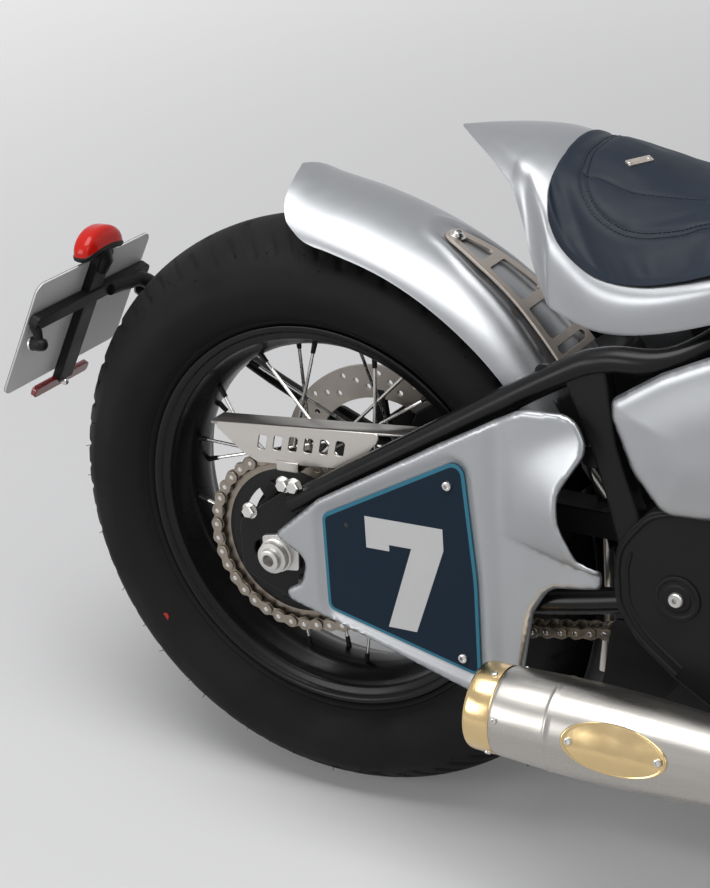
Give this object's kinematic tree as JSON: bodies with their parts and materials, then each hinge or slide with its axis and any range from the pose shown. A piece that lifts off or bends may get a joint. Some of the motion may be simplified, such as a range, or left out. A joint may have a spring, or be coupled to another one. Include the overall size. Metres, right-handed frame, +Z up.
{
  "type": "bobber motorcycle",
  "caption": "Bobber motorcycle with a solo saddle, wire wheels and twin silencers, leaning on its side stand; wheels, steering and stand move.",
  "frame": {"origin": "on the floor, below the middle of the whole motorcycle's box", "axes": "+X forward along the motorcycle, +Y to its left (the side it leans to), +Z up from the floor"},
  "size_m": [2.2096, 0.8606, 1.013],
  "materials": {
    "silver_paint": "satin",
    "black_paint": "gloss",
    "engine_black": "satin",
    "tyre_rubber": "matt",
    "steel": "machined",
    "brushed_steel": "brushed",
    "chain_steel": "oiled",
    "brass": "polished",
    "panel_navy": "satin",
    "navy_leather": "fine grain",
    "lamp_red": "gloss",
    "plate_grey": "matt",
    "lens": "clear",
    "strap_metal": "satin"
  },
  "bodies": {
    "root": {"arm_cover_left": "silver_paint", "arm_cover_right": "silver_paint", "chain": "chain_steel", "chain_guard": "brushed_steel", "crankcase": "engine_black", "cylinder_head": "engine_black", "cylinders": "engine_black", "fender_strap": "strap_metal", "filler_cap": "steel", "front_sprocket_block": "chain_steel", "fuel_tank": "silver_paint", "header_left": "steel", "header_right": "steel", "licence_plate": "plate_grey", "main_frame": "black_paint", "number_panel_left": "panel_navy", "number_panel_right": "panel_navy", "plate_bracket": "black_paint", "radiator": "engine_black", "rear_axle": "steel", "rear_cage": "black_paint", "rear_fender": "silver_paint", "rear_reflector": "lamp_red", "rear_shock": "black_paint", "seat": "navy_leather", "side_cover_left": "silver_paint", "side_cover_right": "silver_paint", "silencer_cap_left": "brass", "silencer_cap_right": "brass", "silencer_left": "brushed_steel", "silencer_right": "brushed_steel", "tail_lamp": "lamp_red", "tail_pan": "silver_paint"},
    "rear_wheel": {"rear_tyre": "tyre_rubber", "rear_wheel": "black_paint", "rear_sprocket": "chain_steel", "rear_disc": "steel"},
    "front_wheel": {"front_tyre": "tyre_rubber", "front_wheel": "black_paint", "front_disc": "steel"},
    "fork": {"yokes": "black_paint", "fork_leg_left": "black_paint", "fork_leg_right": "black_paint", "front_axle": "steel", "handlebar": "black_paint", "headlamp": "engine_black", "headlamp_lens": "lens", "speedometer": "engine_black", "front_fender": "silver_paint"},
    "side_stand": {"side_stand": "black_paint"}
  },
  "joints": [
    {"name": "rear_wheel_spin", "type": "hinge", "parent": "root", "child": "rear_wheel", "pos_m": [-0.72396, -0.09507, 0.31883], "axis": [0, 0.9877, -0.1564], "continuous": true},
    {"name": "steering", "type": "hinge", "parent": "root", "child": "fork", "pos_m": [0.47279, -0.01576, 0.81958], "axis": [-0.4352, 0.1408, 0.8892], "range_deg": [-32, 32]},
    {"name": "front_wheel_spin", "type": "hinge", "parent": "fork", "child": "front_wheel", "pos_m": [0.78604, -0.09556, 0.31573], "axis": [0, 0.9877, -0.1564], "continuous": true},
    {"name": "stand_fold", "type": "hinge", "parent": "root", "child": "side_stand", "pos_m": [-0.14896, 0.03384, 0.17387], "axis": [-0.1279, 0.7315, 0.6697], "range_deg": [0, 95.3]}
  ]
}
